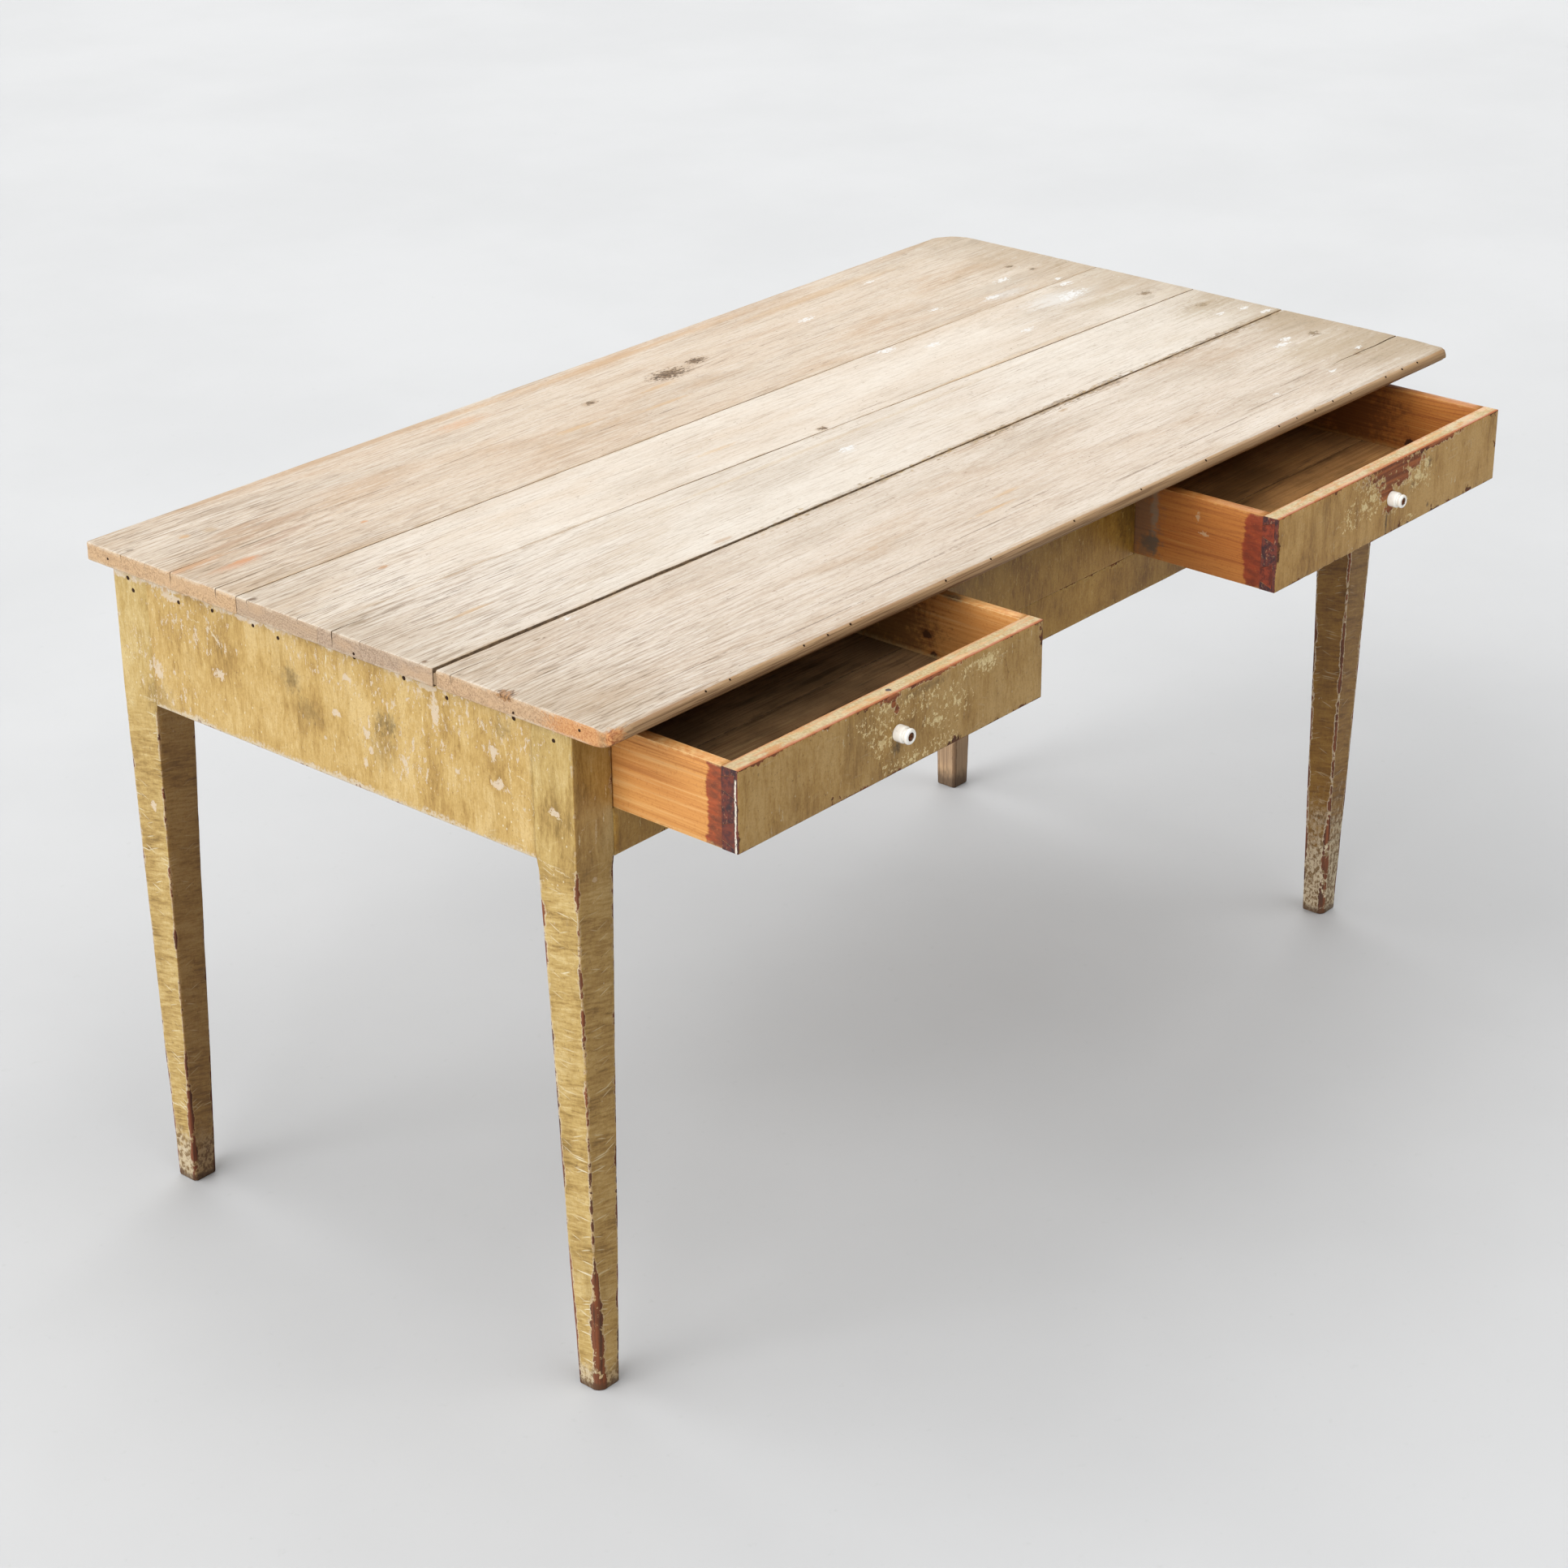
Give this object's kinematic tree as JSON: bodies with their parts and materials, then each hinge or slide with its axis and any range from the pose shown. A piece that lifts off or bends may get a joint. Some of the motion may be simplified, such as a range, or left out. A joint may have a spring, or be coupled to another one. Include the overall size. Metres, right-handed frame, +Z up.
{
  "type": "kitchen table",
  "caption": "Long wooden kitchen table with a scrubbed board top, painted aprons on tapered legs, and dovetailed front drawers with porcelain knobs.",
  "frame": {"origin": "on the floor, under the middle of the whole box with the drawers standing open as in the picture", "axes": "+X along the long front, +Y to the back, +Z up"},
  "size_m": [1.446, 0.8844, 0.77],
  "materials": {
    "scrubbed_pine": "bare wood, scrubbed and greyed, open grain",
    "ochre_paint": "old ochre paint with brushed graining, worn at the edges",
    "drawer_pine": "bare orange pine",
    "floor_pine": "bare pine, stained dark",
    "bare_pine": "rough bare pine",
    "porcelain": "white glaze",
    "rusty_iron": "rusted"
  },
  "bodies": {
    "frame": {"top_board_rear": "scrubbed_pine", "top_board_mid_rear": "scrubbed_pine", "top_board_mid_front": "scrubbed_pine", "top_board_front": "scrubbed_pine", "leg_front_left": "ochre_paint", "leg_front_right": "ochre_paint", "leg_rear_left": "ochre_paint", "leg_rear_right": "ochre_paint", "apron_left": "ochre_paint", "apron_right": "ochre_paint", "apron_rear": "ochre_paint", "rail_front_lower": "ochre_paint", "rail_front_upper": "ochre_paint", "panel_front_center": "ochre_paint", "runner_left_outer": "bare_pine", "runner_left_inner": "bare_pine", "runner_right_inner": "bare_pine", "runner_right_outer": "bare_pine", "guide_left_outer": "bare_pine", "guide_left_inner": "bare_pine", "guide_right_inner": "bare_pine", "guide_right_outer": "bare_pine", "kicker_left": "bare_pine", "kicker_right": "bare_pine", "glue_blocks": "bare_pine", "drawer_stops": "bare_pine"},
    "left_drawer": {"drawer_left_front": "ochre_paint", "drawer_left_side_left": "drawer_pine", "drawer_left_side_right": "drawer_pine", "drawer_left_back": "drawer_pine", "drawer_left_floor_front": "floor_pine", "drawer_left_floor_mid": "floor_pine", "drawer_left_floor_rear": "floor_pine", "drawer_left_knob": "porcelain", "drawer_left_knob_screw": "rusty_iron", "drawer_left_nails": "rusty_iron"},
    "right_drawer": {"drawer_right_front": "ochre_paint", "drawer_right_side_left": "drawer_pine", "drawer_right_side_right": "drawer_pine", "drawer_right_back": "drawer_pine", "drawer_right_floor_front": "floor_pine", "drawer_right_floor_mid": "floor_pine", "drawer_right_floor_rear": "floor_pine", "drawer_right_knob": "porcelain", "drawer_right_knob_screw": "rusty_iron", "drawer_right_nails": "rusty_iron"}
  },
  "joints": [
    {"name": "left_drawer_slide", "type": "slide", "parent": "frame", "child": "left_drawer", "axis": [0, -1, 0], "range_m": [-0.1568, 0.1832]},
    {"name": "right_drawer_slide", "type": "slide", "parent": "frame", "child": "right_drawer", "axis": [0, -1, 0], "range_m": [-0.1852, 0.1548]}
  ]
}
